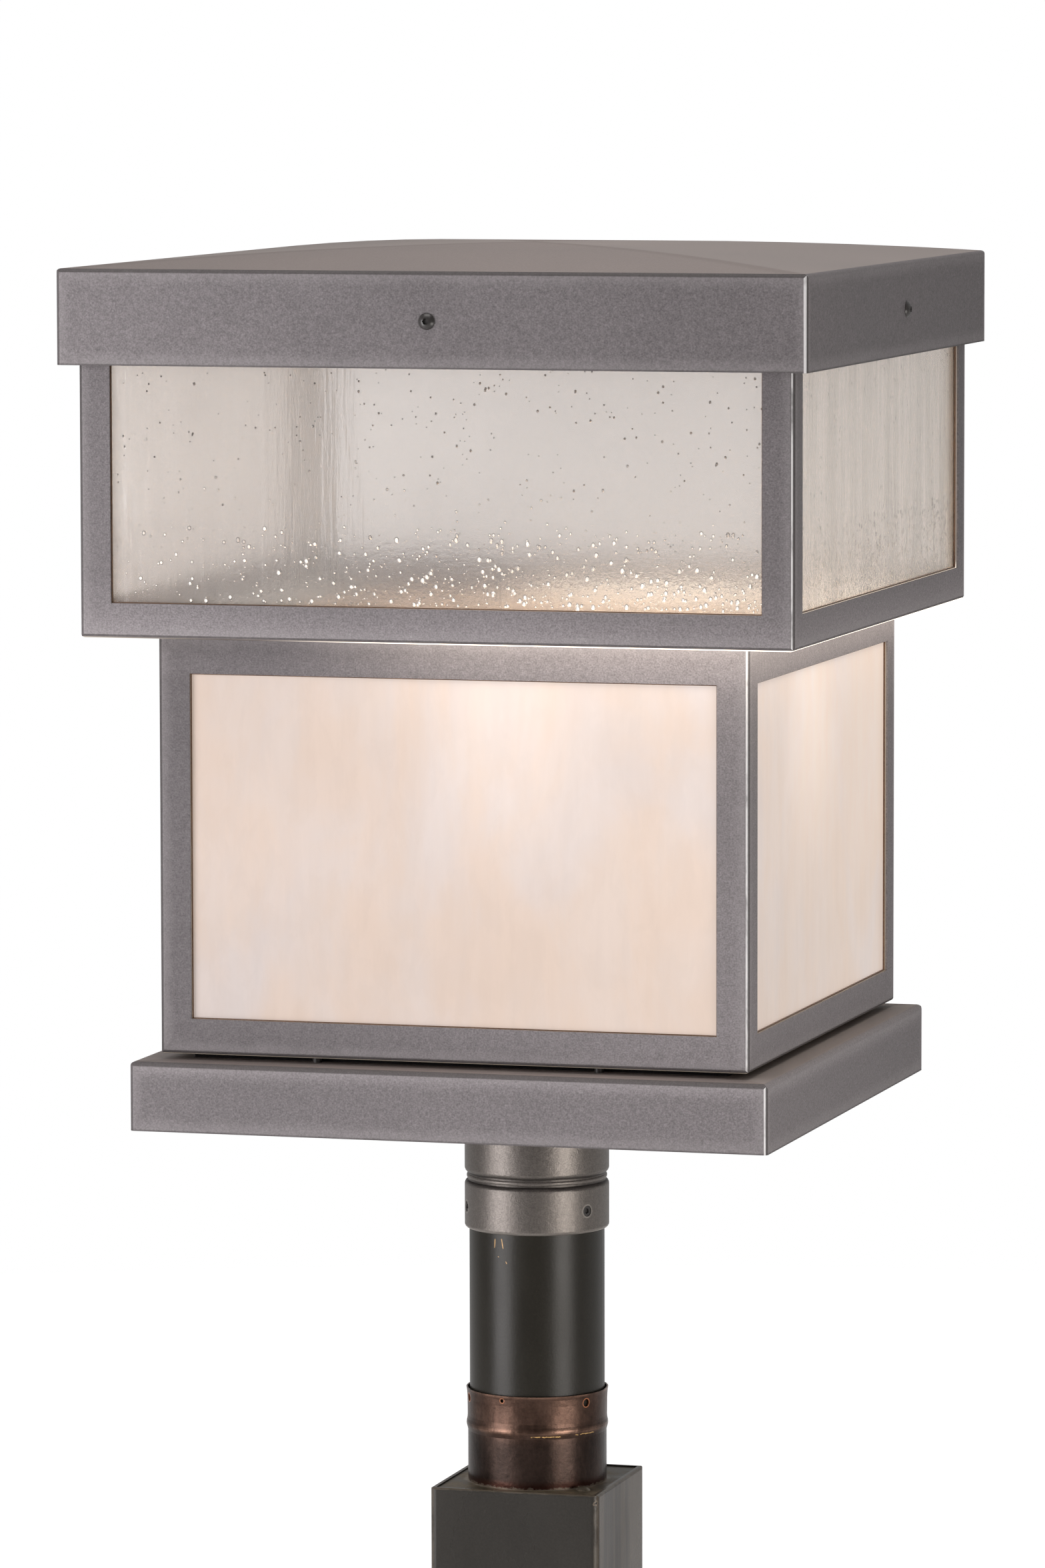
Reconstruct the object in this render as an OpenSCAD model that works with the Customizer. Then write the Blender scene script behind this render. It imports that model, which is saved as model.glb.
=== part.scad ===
// Outdoor post light: a square two-tier lantern with a crowned cap, on a round
// tube and a short square post. Millimetres, +Z up, origin on the ground under
// the middle of the base plate. The front face looks along -Y.

/* [Pedestal] */
// Height of the square post's top edge above the ground
pedestal_h = 260; // [160:10:1200]
// Width of the square post across its flats
post_w = 98; // [92:1:120]
// Wall of the square post
post_wall = 3; // [2:0.5:4]
// Radius of the square post's upright corners
post_corner_r = 4; // [3.5:0.5:8]
// Width of the square base plate
plate_w = 220; // [190:5:280]
// Thickness of the base plate
plate_t = 10; // [6:1:16]
// Radius of the base plate's corners
plate_corner_r = 12; // [4:1:20]
// Distance from a base plate edge to the anchor holes' line
anchor_edge = 25; // [20:1:32]
// Diameter of an anchor hole
anchor_hole_d = 13; // [9:0.5:17]
// Diameter of the cable hole in the base plate
cable_hole_d = 50; // [30:1:60]
// Thickness of the plate that closes the post's top
top_plate_t = 5; // [3:0.5:8]
// Depth of that plate's face below the post's top edge
top_plate_drop = 0.8; // [0.4:0.1:2]
// Diameter of the wiring hole in that plate
wire_hole_d = 34; // [20:1:50]
// Distance of the bonding screw from the post's middle
bond_screw_out = 45.8; // [45.4:0.1:48]

/* [Tube and sleeve] */
// Outer diameter of the round tube
tube_d = 76.2; // [70:0.1:80]
// Wall of the round tube
tube_wall = 3; // [2:0.5:5]
// Height from the post's top edge to the fitter's lower edge
tube_bare = 143.1; // [90:1:300]
// Height of the copper sleeve
sleeve_h = 52.8; // [45:0.5:80]
// Sheet of the copper sleeve
sleeve_t = 0.8; // [0.5:0.1:1.2]
// Height of the sleeve's rolled bead
sleeve_bead_h = 32.4; // [12:0.2:34]
// How far the bead stands out
sleeve_bead_out = 0.85; // [0.5:0.05:1.5]
// How far the sleeve's rim flares out
sleeve_flare = 0.9; // [0.4:0.1:1.5]
// Diameter of a hole in the sleeve
sleeve_hole_d = 4.4; // [3:0.1:6]
// Depth of the sleeve's holes below its rim
sleeve_hole_drop = 5; // [4:0.5:8]

/* [Fitter] */
// Outer diameter of the fitter
fitter_d = 81.4; // [81:0.1:90]
// Length of the fitter below the tray
fitter_drop = 71.9; // [60:0.5:110]
// Height of the fitter's bead above its lower edge
fitter_bead_h = 29.4; // [26:0.2:40]
// Depth of the grooves beside the bead
fitter_groove = 1.6; // [1:0.1:1.8]
// Height of the bead between its two grooves
fitter_bead_w = 3.7; // [2.5:0.1:5]
// Radius of the fitter's shoulders beside the grooves
fitter_shoulder_r = 3; // [2:0.1:4]
// Radius of the fitter's lower edge
fitter_edge_r = 2.2; // [1:0.1:2.3]
// Diameter of the fitter's flange under the tray
fitter_flange_d = 122; // [116:1:150]
// Thickness of the fitter's flange
fitter_flange_t = 3; // [2:0.5:6]
// Diameter of the flange's bolt circle
fitter_pcd = 102; // [98:1:104]
// Diameter of a set screw
set_screw_d = 6; // [4:0.5:8]
// Height of the set screws above the fitter's lower edge
set_screw_h = 12.7; // [8:0.1:18]

/* [Tray] */
// Width of the square tray
tray_w = 360.4; // [350:1:420]
// Height of the tray's skirt
tray_h = 38.3; // [30:0.5:60]
// Radius of the fold round the tray's top edge
tray_fold_r = 3.5; // [3:0.5:10]
// Height of the seal between tray and lower tier
base_seal_h = 3.2; // [2:0.1:8]

/* [Lower tier] */
// Width of the lower tier
lower_w = 333.3; // [320:1:340]
// Height of the lower tier
lower_h = 230.5; // [200:0.5:320]
// Width of a stile beside the lower windows
lower_stile = 18; // [15:0.5:30]
// Height of the rail above the lower windows
lower_top_rail = 21.2; // [16:0.2:40]
// Height of the rail under the lower windows
lower_bottom_rail = 19.6; // [12:0.2:40]

/* [Upper tier] */
// Width of the upper tier
upper_w = 399.7; // [360:1:460]
// Height of the upper tier
upper_h = 185; // [150:1:260]
// Width of a stile beside the upper windows
upper_stile = 17.7; // [15:0.1:30]
// Height of the rail above the upper windows
upper_top_rail = 31; // [26:0.5:34]
// Height of the rail under the upper windows
upper_bottom_rail = 19; // [12:0.2:40]

/* [Cap] */
// Gap between the cap's skirt and the upper tier
cap_gap = 7.9; // [6:0.1:16]
// Height of the cap's skirt
cap_skirt = 51.9; // [44:0.5:55]
// Rise of the crowned roof above its eaves
cap_rise = 10; // [6:0.5:30]
// Height of the eaves above the upper tier
cap_over = 15; // [13:0.5:18]
// Height of the cap screws below the eaves
cap_screw_drop = 26.5; // [24:0.5:34]
// Diameter of a cap screw
cap_screw_d = 4.8; // [4:0.1:6]
// Diameter of a cap screw's head
cap_screw_head_d = 9.15; // [8:0.05:12]
// Height of a cap screw's head
cap_screw_head_h = 2.6; // [2:0.1:3.5]
// How far the screws on the cap's two sides sit behind the middle
side_screw_back = 14.5; // [0:0.5:40]

/* [Sheet and glass] */
// Thickness of the folded sheet
sheet_t = 1.5; // [1:0.1:2]
// Outer radius of the sheet's sharp folds
fold_r = 2.8; // [2.2:0.1:4]
// Thickness of a pane
glass_t = 3; // [2:0.5:4]
// How far a pane reaches behind its window's edge
glass_lap = 8; // [6:0.5:9]
// Thickness of the gasket in front of a pane
gasket_t = 1; // [0.6:0.1:1.5]
// How far a gasket shows inside its window
gasket_show = 0.6; // [0.3:0.1:2]
// Sheet of the tracks that hold the panes
track_t = 1; // [0.6:0.1:1.2]
// Width of a track's lip behind its pane
track_lip = 6; // [4:0.5:8]
// Width of the lower tier's inward flanges
flange_w = 23; // [22:0.5:30]
// Width of the upper tier's top flange
top_flange_w = 18; // [14:0.5:30]

/* [Lamp] */
// Height of the lamp holder's cup above the tray
stem_rise = 67.5; // [30:0.5:80]
// Outer diameter of the threaded stem
stem_d = 10; // [9:0.5:12]
// Diameter of the lamp holder
holder_d = 41.2; // [36:0.2:50]
// Height of the lamp holder
holder_h = 46; // [42:1:55]
// Diameter of the bulb's screw base
bulb_base_d = 26; // [20:0.5:28]
// Length of the bulb's screw base
bulb_base_h = 24; // [18:0.5:26]
// Diameter of the bulb
bulb_d = 60; // [45:1:80]
// Whole height of the bulb
bulb_h = 108; // [90:1:130]

/* [Fasteners] */
// Diameter of the small bolts
bolt_d = 5; // [4:0.5:6]
// Width of a small nut across its flats
nut_w = 8; // [7:0.5:8.5]
// Height of a small nut
nut_h = 4; // [3:0.5:5]
// Distance of the paired bolts from a side's middle
bolt_along = 80; // [40:5:120]

/* [Clearances] */
// Radial clearance of what turns or slides in a hole
run_gap = 0.08; // [0.02:0.01:0.1]
// Radial clearance of what is only passed through a hole
hole_gap = 0.25; // [0.1:0.05:0.5]
// Gap at a seat that stays free to move
seat_gap = 0.2; // [0.1:0.05:0.3]
// Gap between curved faces that almost touch
tip_gap = 0.3; // [0.2:0.05:0.4]

/* [Hidden] */
$fn = 48;
eps = 1;
least_r = 0.5;

// Turn of each side from the front, seen from above
front_angle = 0;
right_angle = 90;
back_angle = 180;
left_angle = 270;
side_angles = [front_angle, right_angle, back_angle, left_angle];

// Colours of the metals, glass and seals
grey_paint = [0.44, 0.44, 0.45];
black_paint = [0.17, 0.17, 0.16];
brown_copper = [0.28, 0.18, 0.14];
zinc = [0.62, 0.62, 0.60];
brass = [0.78, 0.62, 0.32];
rubber = [0.12, 0.11, 0.10];
silicone = [0.48, 0.33, 0.22];
clear_glass = [0.86, 0.88, 0.88, 0.45];
opal_glass = [0.93, 0.87, 0.83];
porcelain = [0.93, 0.92, 0.88];

// Levels, each the lower edge or face that its name says
z_post_seat = pedestal_h - top_plate_drop;
z_fitter = pedestal_h + tube_bare;
z_tray = z_fitter + fitter_drop;
z_tray_top = z_tray + tray_h;
z_lower = z_tray_top + base_seal_h;
z_upper = z_lower + lower_h;
z_upper_top = z_upper + upper_h;
z_eave = z_upper_top + cap_over;
z_flange = z_tray_top - sheet_t - fitter_flange_t;

// Post and tube
post_in_r = max(post_corner_r - post_wall, least_r);
post_edge_r = post_wall / 2;
plate_in_w = post_w - 2 * post_wall - 2 * seat_gap;
anchor_at = plate_w / 2 - anchor_edge;
tube_r = tube_d / 2;
tube_top = z_flange - seat_gap;
bond_screw_angle = -40;
bond_head_d = 8.2;
bond_head_h = 2;

// Sleeve: the radius of its plain wall, and the heights of its bead's halves and of its flare
sleeve_r = tube_r + hole_gap + sleeve_t;
bead_low = 3.8;
bead_high = 4.6;
flare_low = 5.8;
flare_high = 2.2;
sleeve_angles = [-30, 90, -150];
pin_hole_angle = -104;
pin_hole_d = 2.2;

// Fitter
fitter_r = fitter_d / 2;
bore_r = tube_r + run_gap;
set_screw_angles = [-30, 90, -150];
set_recess = 0.5;
set_key_share = 0.55;
set_key_from = 0.35;
bead_proud = 0.3;
bolt_turn = 45;

// Folded frames
inner_fold_r = fold_r - sheet_t;
ledge_w = upper_w / 2 - lower_w / 2 + flange_w;
seal_in = 1;
seal_w = 7;
seal_half = lower_w / 2 - flange_w + seal_in + seal_w;
tray_bolt_in = 12;
tier_bolt_in = 9.5;
tray_bolt_line = lower_w / 2 - flange_w + tray_bolt_in;
tier_bolt_line = lower_w / 2 - flange_w + tier_bolt_in;

// Cap
cap_in = upper_w / 2 + cap_gap;
cap_w = 2 * (cap_in + sheet_t);
crown_r = (pow(cap_w / 2, 2) + pow(cap_rise, 2)) / (2 * cap_rise);
crown_fn = 1200;
cap_seal_t = 1.5;
cap_seal_w = 12;
ledge_over = 16.1;
ledge_up = 8;
z_ledge = z_upper_top + cap_seal_t + seat_gap;
cap_nut_h = 5;
hex_key = 3.2;
hex_from = 0.4;

// Small bolts: a rounded pan head, and the end that shows past the nut
head_d = 1.7 * bolt_d;
head_h = 0.55 * bolt_d;
bolt_end = 1;
small_hole_r = bolt_d / 2 + hole_gap;

// Lamp
z_cup = z_tray_top + stem_rise;
cup_t = 1.2;
cup_h = 14;
z_holder = z_cup + cup_t;
holder_floor = 17;
holder_step = 2;
holder_rim = 3;
holder_rim_in = 1;
stem_in_holder = 9;
stem_wall = 1.5;
stem_hole_r = stem_d / 2 + hole_gap;
stem_below = 12;
locknut_w = 14;
locknut_h = 4;
shell_t = 0.42;
shell_drop = 2;
contact_t = 1.5;
contact_r = 5;
z_bulb = z_holder + holder_floor + contact_t + seat_gap;
bulb_wall = 1;
bulb_tip_h = 4;
bulb_tip_r = 4;
bulb_tip_edge = 1;
bulb_r = bulb_d / 2;
neck_in = 0.6;
neck_r = bulb_base_d / 2 - neck_in;

// Turns a piece that is drawn at the front to another side
module on_side(side) {
    rotate([0, 0, side]) children();
}

// Square outline with round corners, centred
module round_square(w, r) {
    square([w - 2 * r, w], center = true);
    square([w, w - 2 * r], center = true);
    for (x = [-1, 1], y = [-1, 1])
        translate([x * (w / 2 - r), y * (w / 2 - r)]) circle(r = r);
}

// Upright outline of a folded case: round lower corners, then round upper ones
module case_outline(w, h, r_low, r_high) {
    translate([-w / 2, r_low]) square([w, h - r_low - r_high]);
    translate([r_low - w / 2, 0]) square([w - 2 * r_low, h / 2]);
    translate([r_high - w / 2, h / 2]) square([w - 2 * r_high, h / 2]);
    for (x = [-1, 1]) {
        if (r_low > 0) translate([x * (w / 2 - r_low), r_low]) circle(r = r_low);
        if (r_high > 0) translate([x * (w / 2 - r_high), h - r_high]) circle(r = r_high);
    }
}

// Crosses an upright outline with itself, so that its folds meet in mitres
module crossed(w) {
    intersection() {
        rotate([90, 0, 0]) linear_extrude(w + 2 * eps, center = true) children();
        rotate([90, 0, 90]) linear_extrude(w + 2 * eps, center = true) children();
    }
}

// Solid block with the folds of a sheet metal case
module folded_block(w, h, r_low, r_high, r_side) {
    intersection() {
        crossed(w) case_outline(w, h, r_low, r_high);
        translate([0, 0, -eps]) linear_extrude(h + 2 * eps) round_square(w, r_side);
    }
}

// Straight tube, or a disc with a hole
module ring(r_out, r_in, h) {
    difference() {
        cylinder(r = r_out, h = h);
        translate([0, 0, -eps]) cylinder(r = r_in, h = h + 2 * eps);
    }
}

// Square strip of one width that runs round the middle
module square_ring(w, strip, h) {
    linear_extrude(h) difference() {
        square(w, center = true);
        square(w - 2 * strip, center = true);
    }
}

module nut(flats, hole_r, h) {
    difference() {
        cylinder(d = flats / cos(30), h = h, $fn = 6);
        translate([0, 0, -eps]) cylinder(r = hole_r, h = h + 2 * eps);
    }
}

// Low domed head on the plane z = 0, with its top towards +Z
module dome_head(d, h) {
    ball_r = (pow(d / 2, 2) + pow(h, 2)) / (2 * h);
    rotate_extrude() intersection() {
        translate([0, h - ball_r]) circle(r = ball_r, $fn = 96);
        square([d / 2, h]);
    }
}

// Small bolt: head above z = 0, shank down from it
module pan_bolt(reach) {
    dome_head(head_d, head_h);
    translate([0, 0, -reach]) cylinder(d = bolt_d, h = reach + head_h / 2);
}

// Socket head screw along +Z: the shank ends at z = 0 under the head
module socket_screw(d, reach, big_d, big_h, key) {
    difference() {
        union() {
            dome_head(big_d, big_h);
            translate([0, 0, -reach]) cylinder(d = d, h = reach + big_h / 2);
        }
        translate([0, 0, big_h * hex_from]) cylinder(d = key / cos(30), h = big_h, $fn = 6);
    }
}

// Places of the paired bolts along the four sides, at a distance from the middle
module at_pairs(line) {
    for (side = side_angles, x = [-1, 1])
        on_side(side) translate([x * bolt_along, -line, 0]) children();
}

module base_plate() {
    color(black_paint)
    difference() {
        linear_extrude(plate_t) round_square(plate_w, plate_corner_r);
        for (x = [-1, 1], y = [-1, 1])
            translate([x * anchor_at, y * anchor_at, -eps])
                cylinder(d = anchor_hole_d, h = plate_t + 2 * eps);
        translate([0, 0, -eps]) cylinder(d = cable_hole_d, h = plate_t + 2 * eps);
    }
}

module square_post() {
    post_len = pedestal_h - plate_t;
    color(black_paint)
    translate([0, 0, plate_t])
    difference() {
        folded_block(post_w, post_len, 0, post_edge_r, post_corner_r);
        translate([0, 0, -eps])
            linear_extrude(post_len + 2 * eps) round_square(post_w - 2 * post_wall, post_in_r);
    }
}

// Place of the bonding screw on the post's top
module at_bond_screw() {
    rotate([0, 0, bond_screw_angle]) translate([bond_screw_out, 0, 0]) children();
}

module post_top_plate() {
    color(black_paint)
    translate([0, 0, z_post_seat - top_plate_t])
    difference() {
        linear_extrude(top_plate_t) round_square(plate_in_w, post_in_r);
        translate([0, 0, -eps]) cylinder(d = wire_hole_d, h = top_plate_t + 2 * eps);
        at_bond_screw() translate([0, 0, -eps]) cylinder(r = small_hole_r, h = top_plate_t + 2 * eps);
    }
}

module bond_screw() {
    color(zinc)
    at_bond_screw() translate([0, 0, z_post_seat]) {
        dome_head(bond_head_d, bond_head_h);
        translate([0, 0, -top_plate_t - nut_h])
            cylinder(d = bolt_d, h = top_plate_t + nut_h + bond_head_h / 2);
    }
}

module round_tube() {
    color(black_paint)
    translate([0, 0, z_post_seat]) ring(tube_r, tube_r - tube_wall, tube_top - z_post_seat);
}

// Outer line of the sleeve, from its foot up over the bead to the flared rim
function sleeve_line() = [
    [sleeve_r, 0],
    [sleeve_r, sleeve_bead_h - bead_low],
    [sleeve_r + sleeve_bead_out * 0.5, sleeve_bead_h - bead_low * 0.58],
    [sleeve_r + sleeve_bead_out * 0.94, sleeve_bead_h - bead_low * 0.21],
    [sleeve_r + sleeve_bead_out, sleeve_bead_h],
    [sleeve_r + sleeve_bead_out * 0.9, sleeve_bead_h + bead_high * 0.22],
    [sleeve_r + sleeve_bead_out * 0.5, sleeve_bead_h + bead_high * 0.57],
    [sleeve_r + sleeve_bead_out * 0.3, sleeve_bead_h + bead_high],
    [sleeve_r + sleeve_flare * 0.4, sleeve_h - flare_low],
    [sleeve_r + sleeve_flare * 0.65, sleeve_h - flare_high],
    [sleeve_r + sleeve_flare, sleeve_h]
];

module copper_sleeve() {
    outer = sleeve_line();
    inner = [for (i = [len(outer) - 1:-1:0]) outer[i] - [sleeve_t, 0]];
    hole_z = sleeve_h - sleeve_hole_drop;
    color(brown_copper)
    translate([0, 0, z_post_seat])
    difference() {
        rotate_extrude() polygon(concat(outer, inner));
        for (a = sleeve_angles)
            rotate([0, 90, a]) translate([-hole_z, 0, tube_r]) cylinder(d = sleeve_hole_d, h = sleeve_r);
        rotate([0, 90, pin_hole_angle])
            translate([-hole_z - pin_hole_d, 0, tube_r]) cylinder(d = pin_hole_d, h = sleeve_r);
    }
}

// Half section of the fitter: two rounded rings, a bead between them and a flange
module fitter_section() {
    top = z_flange - z_fitter;
    core_r = fitter_r - fitter_groove;
    low_top = fitter_bead_h - fitter_bead_w / 2;
    high_low = fitter_bead_h + fitter_bead_w / 2;
    bead_r = fitter_bead_w / 2;
    intersection() {
        union() {
            translate([bore_r, fitter_edge_r])
                square([fitter_r - bore_r, low_top - fitter_edge_r - fitter_shoulder_r]);
            translate([bore_r, 0]) square([fitter_r - bore_r - fitter_edge_r, fitter_edge_r]);
            translate([fitter_r - fitter_edge_r, fitter_edge_r]) circle(r = fitter_edge_r);
            translate([fitter_r - fitter_shoulder_r, low_top - fitter_shoulder_r])
                circle(r = fitter_shoulder_r);
            translate([bore_r, low_top - fitter_shoulder_r])
                square([core_r - bore_r, high_low - low_top + 2 * fitter_shoulder_r]);
            translate([core_r - bead_r + fitter_groove * bead_proud, fitter_bead_h]) circle(r = bead_r);
            translate([fitter_r - fitter_shoulder_r, high_low + fitter_shoulder_r])
                circle(r = fitter_shoulder_r);
            translate([bore_r, high_low + fitter_shoulder_r])
                square([fitter_r - bore_r, top - high_low - fitter_shoulder_r]);
        }
        translate([bore_r, 0]) square([fitter_r, top]);
    }
    translate([stem_hole_r, top]) square([fitter_flange_d / 2 - stem_hole_r, fitter_flange_t]);
}

// Places of the four bolts on the fitter's flange
module at_fitter_bolts() {
    for (side = side_angles)
        rotate([0, 0, side + bolt_turn]) translate([fitter_pcd / 2, 0, 0]) children();
}

module fitter() {
    color(grey_paint)
    translate([0, 0, z_fitter])
    difference() {
        rotate_extrude() fitter_section();
        for (a = set_screw_angles)
            rotate([0, 90, a]) translate([-set_screw_h, 0, tube_r - tube_wall])
                cylinder(r = set_screw_d / 2 + run_gap, h = fitter_r);
        at_fitter_bolts() translate([0, 0, z_flange - z_fitter - eps])
            cylinder(r = small_hole_r, h = fitter_flange_t + 2 * eps);
    }
}

module fitter_bolts() {
    grip = sheet_t + fitter_flange_t + nut_h + bolt_end;
    color(zinc)
    at_fitter_bolts() translate([0, 0, z_tray_top]) pan_bolt(grip);
}

module fitter_nuts() {
    color(zinc)
    at_fitter_bolts() translate([0, 0, z_flange - nut_h]) nut(nut_w, bolt_d / 2 + run_gap, nut_h);
}

// One of the three set screws, short enough to end inside the fitter's wall
module set_screw(angle) {
    tip = tube_r + tip_gap;
    reach = fitter_r - set_recess - tip;
    color(black_paint)
    translate([0, 0, z_fitter + set_screw_h])
    rotate([0, 90, angle]) translate([0, 0, tip])
    difference() {
        cylinder(d = set_screw_d, h = reach);
        translate([0, 0, reach * set_key_from]) cylinder(d = set_screw_d * set_key_share, h = reach, $fn = 6);
    }
}

// Inverted pan under the lower tier
module base_tray() {
    color(grey_paint)
    difference() {
        translate([0, 0, z_tray]) folded_block(tray_w, tray_h, 0, tray_fold_r, fold_r);
        translate([0, 0, z_tray - eps])
            folded_block(tray_w - 2 * sheet_t, tray_h - sheet_t + eps, 0,
                tray_fold_r - sheet_t, inner_fold_r);
        translate([0, 0, z_tray_top - sheet_t - eps]) {
            cylinder(r = stem_hole_r, h = sheet_t + 2 * eps);
            at_fitter_bolts() cylinder(r = small_hole_r, h = sheet_t + 2 * eps);
            at_pairs(tray_bolt_line) cylinder(r = small_hole_r, h = sheet_t + 2 * eps);
        }
    }
}

// This lies deep under the lower tier, inside the line of its bolts
module base_seal() {
    color(rubber)
    translate([0, 0, z_tray_top]) square_ring(2 * seal_half, seal_w, base_seal_h);
}

// These go up from under the tray into nuts on the lower tier's flange
module tray_bolts() {
    grip = 2 * sheet_t + base_seal_h + nut_h + bolt_end;
    color(zinc)
    at_pairs(tray_bolt_line) translate([0, 0, z_tray_top - sheet_t]) rotate([180, 0, 0]) pan_bolt(grip);
}

module tray_nuts() {
    color(zinc)
    at_pairs(tray_bolt_line) translate([0, 0, z_lower + sheet_t]) nut(nut_w, bolt_d / 2 + run_gap, nut_h);
}

// One folded panel of a tier, at the front: window, upright half folds and flanges
module frame_panel(w, h, low_flange, high_flange, stile, top_rail, bottom_rail, low_bolts, high_bolts) {
    intersection() {
        difference() {
            folded_block(w, h, fold_r, fold_r, fold_r);
            translate([0, 0, sheet_t])
                folded_block(w - 2 * sheet_t, h - 2 * sheet_t, inner_fold_r, inner_fold_r, inner_fold_r);
            translate([-w / 2, low_flange - w / 2, -eps]) cube([w, w, h / 2]);
            translate([-w / 2, high_flange - w / 2, h / 2]) cube([w, w, h / 2 + eps]);
            translate([stile - w / 2, -w / 2 - eps, bottom_rail])
                cube([w - 2 * stile, sheet_t + 2 * eps, h - bottom_rail - top_rail]);
            for (x = [-1, 1]) {
                if (low_bolts > 0)
                    translate([x * bolt_along, -low_bolts, -eps])
                        cylinder(r = small_hole_r, h = sheet_t + 2 * eps);
                if (high_bolts > 0)
                    translate([x * bolt_along, -high_bolts, h - sheet_t - eps])
                        cylinder(r = small_hole_r, h = sheet_t + 2 * eps);
            }
        }
        translate([0, 0, -eps]) linear_extrude(h + 2 * eps) polygon([[0, 0], [-w, -w], [w, -w]]);
    }
}

module lower_frame(side) {
    color(grey_paint)
    on_side(side) translate([0, 0, z_lower])
        frame_panel(lower_w, lower_h, flange_w, flange_w, lower_stile, lower_top_rail, lower_bottom_rail,
            tray_bolt_line, tier_bolt_line);
}

module upper_frame(side) {
    color(grey_paint)
    on_side(side) translate([0, 0, z_upper])
        frame_panel(upper_w, upper_h, ledge_w, top_flange_w, upper_stile, upper_top_rail, upper_bottom_rail,
            tier_bolt_line, 0);
}

// Half width of a pane, and the distances of its faces from the middle
function pane_half(w, stile) = w / 2 - stile + glass_lap;
function pane_face(w) = w / 2 - sheet_t - gasket_t;
function pane_top(h, top_rail) = h - top_rail + glass_lap;

// Pane of a tier, at the front, standing on the tier's lower flange
module pane(w, h, stile, top_rail) {
    half = pane_half(w, stile);
    translate([-half, -pane_face(w), sheet_t]) cube([2 * half, glass_t, pane_top(h, top_rail) - sheet_t]);
}

// Gasket between a pane and its window's edges, at the front, clear of the fold's inside
module gasket(w, h, stile, top_rail, bottom_rail) {
    half = pane_half(w, stile);
    win = w / 2 - stile - gasket_show;
    low = bottom_rail + gasket_show;
    high = h - top_rail - gasket_show;
    translate([0, -pane_face(w), 0]) rotate([90, 0, 0])
    linear_extrude(gasket_t) difference() {
        translate([-half, fold_r]) square([2 * half, pane_top(h, top_rail) - fold_r]);
        translate([-win, low]) square([2 * win, high - low]);
    }
}

// Two upright tracks that hold a pane by its edges, at the front
module tracks(w, h, stile, top_rail) {
    half = pane_half(w, stile);
    wall = w / 2 - sheet_t;
    web = half + seat_gap;
    back = pane_face(w) - glass_t - seat_gap;
    foot = pane_face(w) - tip_gap;
    for (x = [0, 1]) mirror([x, 0, 0])
        translate([0, 0, fold_r]) linear_extrude(pane_top(h, top_rail) - fold_r)
        polygon([
            [web, -wall], [foot, -wall], [foot, track_t - wall], [web + track_t, track_t - wall],
            [web + track_t, track_t - back], [half - track_lip, track_t - back],
            [half - track_lip, -back], [web, -back]
        ]);
}

module lower_pane(side) {
    color(opal_glass)
    on_side(side) translate([0, 0, z_lower]) pane(lower_w, lower_h, lower_stile, lower_top_rail);
}

module lower_gaskets() {
    color(silicone)
    for (side = side_angles) on_side(side) translate([0, 0, z_lower])
        gasket(lower_w, lower_h, lower_stile, lower_top_rail, lower_bottom_rail);
}

module lower_tracks() {
    color(zinc)
    for (side = side_angles) on_side(side) translate([0, 0, z_lower])
        tracks(lower_w, lower_h, lower_stile, lower_top_rail);
}

module upper_pane(side) {
    color(clear_glass)
    on_side(side) translate([0, 0, z_upper]) pane(upper_w, upper_h, upper_stile, upper_top_rail);
}

module upper_gaskets() {
    color(silicone)
    for (side = side_angles) on_side(side) translate([0, 0, z_upper])
        gasket(upper_w, upper_h, upper_stile, upper_top_rail, upper_bottom_rail);
}

module upper_tracks() {
    color(zinc)
    for (side = side_angles) on_side(side) translate([0, 0, z_upper])
        tracks(upper_w, upper_h, upper_stile, upper_top_rail);
}

// These clamp the two tiers' flanges together from inside
module tier_bolts() {
    grip = 2 * sheet_t + nut_h + bolt_end;
    color(zinc)
    at_pairs(tier_bolt_line) translate([0, 0, z_upper + sheet_t]) pan_bolt(grip);
}

module tier_nuts() {
    color(zinc)
    at_pairs(tier_bolt_line) translate([0, 0, z_upper - sheet_t - nut_h])
        nut(nut_w, bolt_d / 2 + run_gap, nut_h);
}

module cap_seal() {
    color(rubber)
    translate([0, 0, z_upper_top]) square_ring(upper_w - 2 * fold_r, cap_seal_w, cap_seal_t);
}

// Upright outline of the crowned cap: an arch that folds down into two skirts
module crown_outline(half, arch_r, bend_r) {
    mid = z_eave + cap_rise - crown_r;
    bend_x = half - bend_r;
    bend_z = mid + sqrt(pow(arch_r - bend_r, 2) - pow(bend_x, 2));
    meet_x = bend_x * arch_r / (arch_r - bend_r);
    low = z_eave - cap_skirt;
    intersection() {
        translate([0, mid]) circle(r = arch_r, $fn = crown_fn);
        translate([-meet_x, low]) square([2 * meet_x, cap_skirt + 2 * cap_rise]);
    }
    translate([-half, low]) square([2 * half, bend_z - low]);
    for (x = [-1, 1]) translate([x * bend_x, bend_z]) circle(r = bend_r);
}

module crown_block(half, arch_r, bend_r) {
    intersection() {
        crossed(2 * half) crown_outline(half, arch_r, bend_r);
        translate([0, 0, z_eave - cap_skirt - eps])
            linear_extrude(cap_skirt + 2 * cap_rise) round_square(2 * half, bend_r);
    }
}

// Offset of a cap screw along its side: only those on the two flanks sit back
function screw_shift(side) = side_screw_back * sin(side);

// Frame of a cap screw: +Z points out of the skirt
module at_cap_screw(side, out) {
    on_side(side) translate([screw_shift(side), -out, z_eave - cap_screw_drop]) rotate([90, 0, 0]) children();
}

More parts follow.
